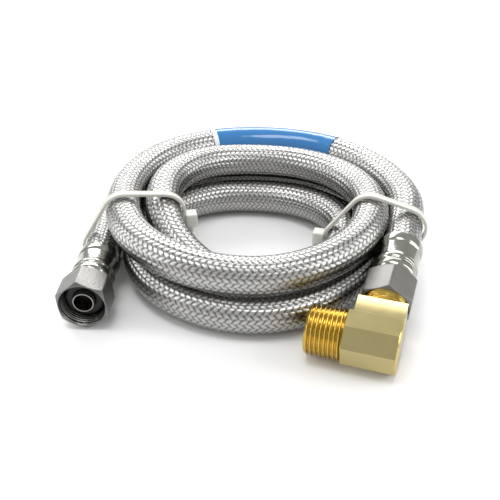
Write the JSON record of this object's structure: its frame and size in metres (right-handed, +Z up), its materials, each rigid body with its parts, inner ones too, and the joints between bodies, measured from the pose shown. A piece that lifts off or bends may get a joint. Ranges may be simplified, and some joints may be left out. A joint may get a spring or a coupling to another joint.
{
  "type": "braided supply line",
  "caption": "Coiled braided steel water hose with crimped ends, hexagon coupling nuts and a brass elbow with a taper pipe thread, held by nylon ties.",
  "frame": {"origin": "centre of the object's box on the surface it lies on", "axes": "+Z up through the open coil, +Y away from the fittings, +X from the free nut towards the elbow"},
  "size_m": [0.1249, 0.1336, 0.0288],
  "materials": {
    "braid_steel": "bright drawn wire",
    "liner_rubber": "matt",
    "label_film": "glossy film",
    "ferrule_steel": "polished",
    "tail_steel": "turned",
    "washer_rubber": "matt",
    "nut_steel": "plated, grainy facets",
    "nut_satin": "satin plated",
    "elbow_brass": "bright machined bar, matt flats",
    "tie_nylon": "milky natural nylon"
  },
  "bodies": {
    "hose": {"braided_sleeve": "braid_steel", "inner_tube": "liner_rubber", "label_band": "label_film", "left_ferrule": "ferrule_steel", "left_hose_tail": "tail_steel", "left_cone_washer": "washer_rubber", "right_ferrule": "ferrule_steel", "right_hose_tail": "tail_steel", "left_cable_tie": "tie_nylon", "right_cable_tie": "tie_nylon"},
    "free_nut": {"left_coupling_nut": "nut_steel"},
    "elbow_nut": {"right_coupling_nut": "nut_satin"},
    "elbow_seat": {"right_cone_washer": "washer_rubber"},
    "elbow": {"brass_elbow": "elbow_brass"}
  },
  "joints": [
    {"name": "free_nut_spin", "type": "hinge", "parent": "hose", "child": "free_nut", "pos_m": [-0.0526, -0.0106, 0.0089], "axis": [-0.0499, -0.9986, 0.02], "continuous": true},
    {"name": "elbow_nut_unscrew", "type": "hinge", "parent": "hose", "child": "elbow_nut", "pos_m": [0.0513, -0.0153, 0.0169], "axis": [0.3136, 0.9319, 0.1822], "range_deg": [0, 1440]},
    {"name": "elbow_draw_out", "type": "slide", "parent": "hose", "child": "elbow_seat", "axis": [-0.3136, -0.9319, -0.1822], "range_m": [0, 0.00423]},
    {"name": "elbow_swivel", "type": "hinge", "parent": "elbow_seat", "child": "elbow", "pos_m": [0.0513, -0.0153, 0.0169], "axis": [0.3136, 0.9319, 0.1822], "range_deg": [0, 180]}
  ],
  "couplings": [
    {"joint": "elbow_nut_unscrew", "follows": "elbow_draw_out", "rad_per_m": 5938}
  ]
}
